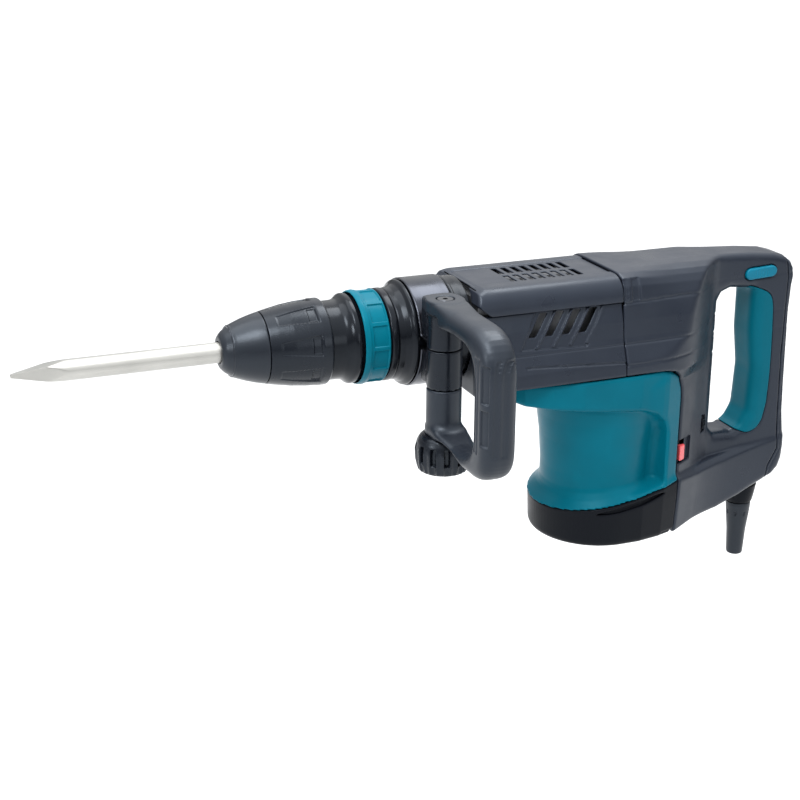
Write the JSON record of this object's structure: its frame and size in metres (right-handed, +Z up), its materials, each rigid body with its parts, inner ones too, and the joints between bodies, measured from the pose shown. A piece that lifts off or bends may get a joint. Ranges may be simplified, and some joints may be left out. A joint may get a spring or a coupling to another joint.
{
  "type": "electric jackhammer",
  "caption": "Corded electric demolition hammer with a chisel in a quick-change holder, a swinging D-shaped side handle, an upright motor under the casing and a D-shaped rear handle.",
  "frame": {"origin": "centre of the flat underside of the motor base, on the motor axis", "axes": "-X points along the chisel, +X towards the rear handle, +Z up along the motor axis, +Y to the right of someone working with the tool"},
  "size_m": [0.7505, 0.251, 0.3275],
  "materials": {
    "steel": "ground steel",
    "dark_steel": "polished dark steel",
    "aluminium": "cast",
    "copper": "copper windings and brass",
    "carbon": "graphite",
    "board": "circuit board",
    "casing": "fine-grained charcoal plastic",
    "dark_casing": "near-black plastic",
    "soft_grip": "soft rubber",
    "nose_rubber": "firm rubber",
    "teal_housing": "satin moulded plastic",
    "teal_grip": "soft moulded insert",
    "teal_switch": "satin plastic",
    "red_lens": "translucent red plastic"
  },
  "bodies": {
    "tool_body": {"barrel": "dark_steel", "index_ring": "nose_rubber", "hammer_cylinder": "dark_steel", "crank_case": "aluminium", "crank_case_lid": "aluminium", "gear_housing": "aluminium", "crank_bearing": "steel", "upper_motor_bearing": "steel", "lower_motor_bearing": "steel", "stator": "dark_steel", "brush_bridge": "dark_casing", "brush_holder_right": "copper", "brush_holder_left": "copper", "motor_housing": "teal_housing", "base_cover": "dark_casing", "base_screw_1": "steel", "base_screw_2": "steel", "base_screw_3": "steel", "side_cover": "casing", "top_cover": "casing", "rear_housing": "casing", "grip_insert": "teal_grip", "handle_cover": "casing", "lamp_lens": "red_lens", "switch_block": "dark_casing", "speed_controller": "board", "cord_gland": "dark_casing", "cord_guard": "nose_rubber"},
    "holder": {"tool_holder": "dark_steel", "locking_key_right": "steel", "locking_key_left": "steel", "nose_cap": "nose_rubber", "cover_spring": "steel", "holder_sleeve": "dark_casing"},
    "release_cover": {"release_cover": "casing"},
    "change_ring": {"change_ring": "teal_housing"},
    "chisel": {"chisel": "steel"},
    "impact_bolt": {"impact_bolt": "steel"},
    "striker": {"striker": "steel"},
    "piston": {"piston": "aluminium", "piston_seal": "nose_rubber", "wrist_pin": "steel"},
    "conrod": {"connecting_rod": "steel"},
    "crank": {"crankshaft": "steel", "crank_gear": "steel"},
    "countershaft": {"countershaft": "steel", "counter_gear": "steel"},
    "armature": {"armature": "copper", "cooling_fan": "dark_casing"},
    "clamp": {"clamp_band": "dark_steel", "clamp_upper_half": "casing", "clamp_lower_half": "casing", "clamp_bolt": "dark_steel"},
    "side_handle": {"side_handle": "soft_grip"},
    "clamp_knob": {"clamp_knob": "casing"},
    "switch_lever": {"switch_lever": "teal_switch"},
    "speed_dial": {"speed_dial": "dark_casing"},
    "brush_right": {"carbon_brush_right": "carbon"},
    "brush_left": {"carbon_brush_left": "carbon"}
  },
  "joints": [
    {"name": "bit_angle", "type": "hinge", "parent": "tool_body", "child": "holder", "pos_m": [-0.3, 0, 0.217], "axis": [1, 0, 0], "continuous": true},
    {"name": "cover_slide", "type": "slide", "parent": "holder", "child": "release_cover", "axis": [1, 0, 0], "range_m": [0, 0.012], "stiffness_N_per_m": 600, "springref_m": -0.012},
    {"name": "ring_slide", "type": "slide", "parent": "holder", "child": "change_ring", "axis": [-1, 0, 0], "range_m": [0, 0.006], "stiffness_N_per_m": 500, "springref_m": -0.008},
    {"name": "chisel_slide", "type": "slide", "parent": "holder", "child": "chisel", "axis": [-1, 0, 0], "range_m": [0, 0.012]},
    {"name": "impact_bolt_slide", "type": "slide", "parent": "tool_body", "child": "impact_bolt", "axis": [-1, 0, 0], "range_m": [0, 0.006]},
    {"name": "striker_slide", "type": "slide", "parent": "tool_body", "child": "striker", "axis": [1, 0, 0], "range_m": [0, 0.02]},
    {"name": "piston_slide", "type": "slide", "parent": "tool_body", "child": "piston", "axis": [1, 0, 0], "range_m": [0, 0.032]},
    {"name": "conrod_swing", "type": "hinge", "parent": "piston", "child": "conrod", "pos_m": [-0.138, 0, 0.217], "axis": [0, 0, 1], "range_deg": [-12.8, 12.8]},
    {"name": "motor_spin", "type": "hinge", "parent": "tool_body", "child": "armature", "pos_m": [0, 0, 0.1], "axis": [0, 0, 1], "continuous": true},
    {"name": "counter_spin", "type": "hinge", "parent": "tool_body", "child": "countershaft", "pos_m": [-0.01486, 0.02606, 0.16], "axis": [0, 0, 1], "continuous": true},
    {"name": "crank_spin", "type": "hinge", "parent": "tool_body", "child": "crank", "pos_m": [-0.05, 0, 0.18], "axis": [0, 0, 1], "continuous": true},
    {"name": "handle_swing", "type": "hinge", "parent": "tool_body", "child": "clamp", "pos_m": [-0.1855, 0, 0.217], "axis": [1, 0, 0], "continuous": true},
    {"name": "handle_swivel", "type": "hinge", "parent": "clamp", "child": "side_handle", "pos_m": [-0.19, -0.068, 0.217], "axis": [0, 0, 1], "range_deg": [-60, 60]},
    {"name": "knob_turn", "type": "hinge", "parent": "clamp", "child": "clamp_knob", "pos_m": [-0.19, -0.068, 0.125], "axis": [0, 0, 1], "continuous": true},
    {"name": "switch_slide", "type": "slide", "parent": "tool_body", "child": "switch_lever", "axis": [0, 1, 0], "range_m": [0, 0.005]},
    {"name": "dial_turn", "type": "hinge", "parent": "tool_body", "child": "speed_dial", "pos_m": [0.0979, -0.0192, 0.0975], "axis": [0.7694, 0.6388, 0], "range_deg": [0, 240]},
    {"name": "brush_right_slide", "type": "slide", "parent": "tool_body", "child": "brush_right", "axis": [0, 1, 0], "range_m": [0, 0.006], "stiffness_N_per_m": 150, "springref_m": -0.01},
    {"name": "brush_left_slide", "type": "slide", "parent": "tool_body", "child": "brush_left", "axis": [0, -1, 0], "range_m": [0, 0.006], "stiffness_N_per_m": 150, "springref_m": -0.01}
  ],
  "couplings": [
    {"joint": "counter_spin", "follows": "motor_spin", "ratio": -0.26316},
    {"joint": "crank_spin", "follows": "motor_spin", "ratio": 0.074224}
  ]
}
